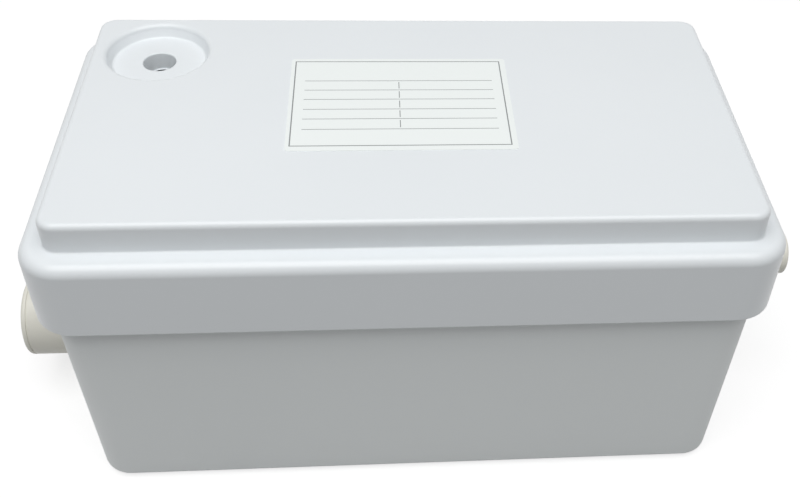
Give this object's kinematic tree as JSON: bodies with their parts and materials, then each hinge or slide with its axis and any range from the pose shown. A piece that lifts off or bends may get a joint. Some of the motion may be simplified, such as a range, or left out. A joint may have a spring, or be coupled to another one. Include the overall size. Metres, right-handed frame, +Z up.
{
  "type": "sewage pump",
  "caption": "Box-shaped waste water lifting pump: lidded tank with vent recess, low side inlet, side discharge, float-free level switch and vertical motor pump.",
  "frame": {"origin": "middle of the footprint on the floor, under the foot pads", "axes": "+X to the discharge side, +Y to the back with the cord entry, +Z up"},
  "size_m": [0.354, 0.1626, 0.1486],
  "materials": {
    "lid_plastic": "glossy white moulded",
    "tank_plastic": "satin light grey moulded",
    "connector_plastic": "satin cream moulded",
    "label_film": "satin printed film, bare",
    "black_rubber": "matt",
    "grey_rubber": "matt",
    "dark_plastic": "satin",
    "deck_plastic": "satin",
    "carbon": "open foam",
    "stainless": "satin",
    "zinc_screw": "bright zinc",
    "lamination": "stacked plates",
    "copper": "enamelled wire",
    "cast_aluminium": "cast",
    "pump_plastic": "glass-filled",
    "ceramic": "ground",
    "capacitor_shell": "satin",
    "switch_plastic": "satin",
    "lead_jacket": "satin"
  },
  "bodies": {
    "root": {"lid_gasket": "grey_rubber", "tank": "tank_plastic", "foot_pads": "black_rubber", "inlet_spigot": "connector_plastic", "inlet_seal": "black_rubber", "inlet_nut": "connector_plastic", "outlet_spigot": "connector_plastic", "outlet_seal": "black_rubber", "outlet_nut": "connector_plastic", "valve_body": "pump_plastic", "valve_cap": "pump_plastic", "flap_pins": "stainless", "discharge_hose": "black_rubber", "hose_clamps": "stainless", "volute_casing": "pump_plastic", "suction_cover": "pump_plastic", "suction_screws": "stainless", "pump_isolators": "black_rubber", "seal_seat": "ceramic", "stator_core": "lamination", "stator_windings": "copper", "motor_housing": "stainless", "volute_screws": "stainless", "bearing_outer_races": "stainless", "motor_gasket": "black_rubber", "motor_cap": "cast_aluminium", "motor_screws": "zinc_screw", "deck_plate": "deck_plastic", "deck_gasket": "black_rubber", "deck_screws": "zinc_screw", "vent_filter": "carbon", "capacitor": "capacitor_shell", "capacitor_clip": "zinc_screw", "clamp_screws": "zinc_screw", "terminal_block": "dark_plastic", "terminal_screws": "zinc_screw", "cord_grommet": "black_rubber", "cord_clamp": "dark_plastic", "pressure_bell": "deck_plastic", "diaphragm_cap": "dark_plastic", "diaphragm_screws": "zinc_screw", "lever_pin": "stainless", "microswitch": "dark_plastic", "switch_bracket": "zinc_screw", "switch_screws": "zinc_screw", "internal_leads": "lead_jacket"},
    "lid": {"lid": "lid_plastic", "rating_label": "label_film"},
    "rotor": {"shaft": "stainless", "rotor_core": "lamination", "impeller": "pump_plastic", "impeller_nut": "stainless", "seal_ring": "black_rubber", "bearing_inner_races": "stainless"},
    "inlet_flap": {"inlet_flap": "black_rubber"},
    "check_flap": {"check_flap": "black_rubber"},
    "switch_plunger": {"diaphragm": "black_rubber", "push_rod": "connector_plastic"},
    "switch_lever": {"switch_lever": "stainless"},
    "switch_button": {"switch_button": "switch_plastic"}
  },
  "joints": [
    {"name": "lid_lift", "type": "slide", "parent": "root", "child": "lid", "axis": [0, 0, 1], "range_m": [0, 0.12]},
    {"name": "rotor_spin", "type": "hinge", "parent": "root", "child": "rotor", "pos_m": [0.03225, 0.01824, 0.06], "axis": [0, 0, 1], "continuous": true},
    {"name": "inlet_flap_swing", "type": "hinge", "parent": "root", "child": "inlet_flap", "pos_m": [-0.11695, -0.0034, 0.0492], "axis": [0, -1, 0], "range_deg": [0, 70]},
    {"name": "check_flap_lift", "type": "hinge", "parent": "root", "child": "check_flap", "pos_m": [0.09895, -0.0068, 0.063], "axis": [0, -1, 0], "range_deg": [0, 60]},
    {"name": "diaphragm_rise", "type": "slide", "parent": "root", "child": "switch_plunger", "axis": [0, 0, 1], "range_m": [0, 0.0025], "stiffness_N_per_m": 400},
    {"name": "lever_tilt", "type": "hinge", "parent": "root", "child": "switch_lever", "pos_m": [-0.08024, -0.03624, 0.1171], "axis": [0, -1, 0], "range_deg": [0, 8.2]},
    {"name": "button_press", "type": "slide", "parent": "root", "child": "switch_button", "axis": [0, 0, 1], "range_m": [0, 0.00115]}
  ],
  "couplings": [
    {"joint": "lever_tilt", "follows": "diaphragm_rise", "rad_per_m": 55.556},
    {"joint": "button_press", "follows": "diaphragm_rise", "ratio": 0.4444}
  ]
}
